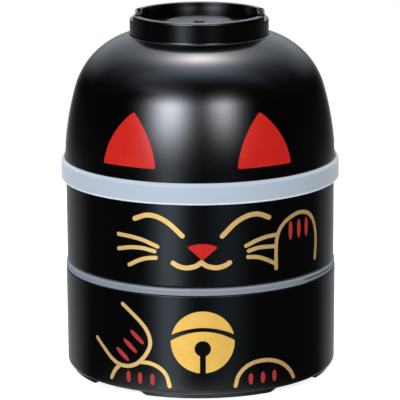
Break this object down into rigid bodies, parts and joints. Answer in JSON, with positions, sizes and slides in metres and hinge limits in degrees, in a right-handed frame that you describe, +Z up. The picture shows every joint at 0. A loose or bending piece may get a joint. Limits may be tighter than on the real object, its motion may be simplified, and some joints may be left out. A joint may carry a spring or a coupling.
{
  "type": "bento box",
  "caption": "Round stacking lunch box with translucent sealing lids, a loose divider inside, and a soup bowl that stands upside down on top as the cover.",
  "frame": {"origin": "on the table, under the axis of the stack", "axes": "+Z up along the axis of the stack; the printed front faces -Y, +X is to the right seen from the front"},
  "size_m": [0.1116, 0.1116, 0.1445],
  "materials": {
    "black_lacquer": "satin black lacquer on a moulded shell",
    "milky_lid": "translucent milky soft plastic with a slight sheen",
    "gold_ink": "screen-printed gold ink",
    "red_ink": "screen-printed red ink"
  },
  "bodies": {
    "lower_box": {"lower_box": "black_lacquer"},
    "lower_lid": {"lower_lid": "milky_lid"},
    "upper_box": {"upper_box": "black_lacquer"},
    "divider": {"divider": "milky_lid"},
    "upper_lid": {"upper_lid": "milky_lid"},
    "bowl": {"bowl": "black_lacquer"}
  },
  "joints": [
    {"name": "lower_lid_lift", "type": "slide", "parent": "lower_box", "child": "lower_lid", "axis": [0, 0, 1], "range_m": [0, 0.04]},
    {"name": "upper_box_lift", "type": "slide", "parent": "lower_lid", "child": "upper_box", "axis": [0, 0, 1], "range_m": [0, 0.04]},
    {"name": "upper_lid_lift", "type": "slide", "parent": "upper_box", "child": "upper_lid", "axis": [0, 0, 1], "range_m": [0, 0.08]},
    {"name": "divider_lift", "type": "slide", "parent": "upper_box", "child": "divider", "axis": [0, 0, 1], "range_m": [0, 0.04]},
    {"name": "bowl_lift", "type": "slide", "parent": "upper_lid", "child": "bowl", "axis": [0, 0, 1], "range_m": [0, 0.06]}
  ],
  "couplings": [
    {"joint": "divider_lift", "follows": "upper_lid_lift", "ratio": 0.5}
  ]
}
